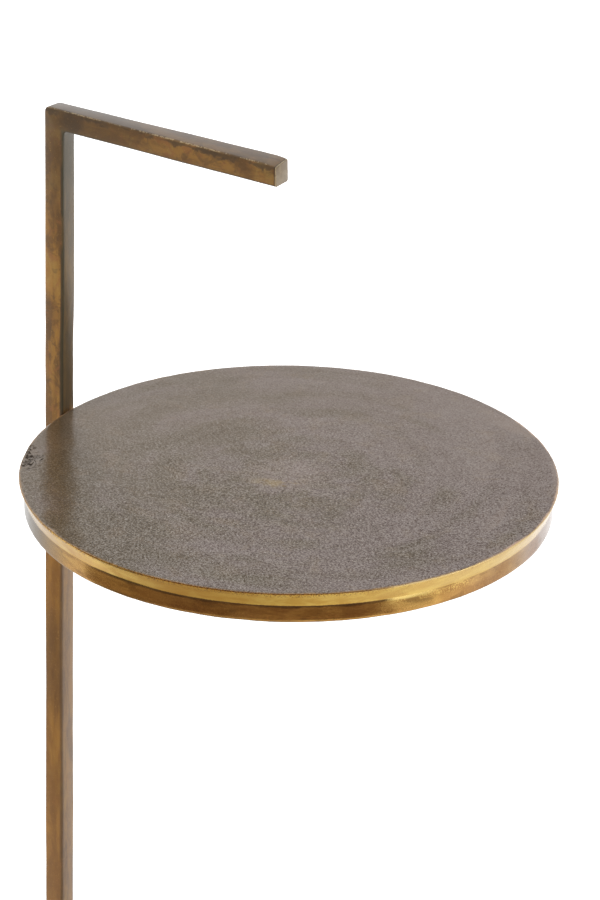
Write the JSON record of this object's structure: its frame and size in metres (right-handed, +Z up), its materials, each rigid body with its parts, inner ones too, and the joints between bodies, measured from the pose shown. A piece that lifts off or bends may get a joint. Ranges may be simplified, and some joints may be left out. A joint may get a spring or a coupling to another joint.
{
  "type": "side table",
  "caption": "Round cast side table held at its rim by one square bar, which bends over the top as a carrying handle and stands on a round weighted base.",
  "frame": {"origin": "on the floor, at the middle of the felt under the round base", "axes": "+Z up; +X the way the handle points from the stem over the tabletop; +Y to the left of that; the table is its own mirror image in the XZ plane"},
  "size_m": [0.3326, 0.3192, 0.7],
  "materials": {
    "cast_top": "sand-cast face with a grey-brown bronze patina, edge polished to a brass colour",
    "bronzed_bar": "hand-finished antique bronze over steel bar",
    "bronzed_arm": "dark bronze patina on flat steel bar",
    "screw_steel": "zinc-plated steel",
    "cast_base": "sand-cast iron with the same patina and polished edge as the top",
    "felt": "dark pressed wool felt"
  },
  "bodies": {
    "root": {"tabletop": "cast_top", "stem": "bronzed_bar", "top_arm": "bronzed_arm", "top_screws": "screw_steel", "top_washers": "screw_steel", "base": "cast_base", "base_arm": "bronzed_arm", "base_screws": "screw_steel", "base_felt": "felt"}
  },
  "joints": []
}
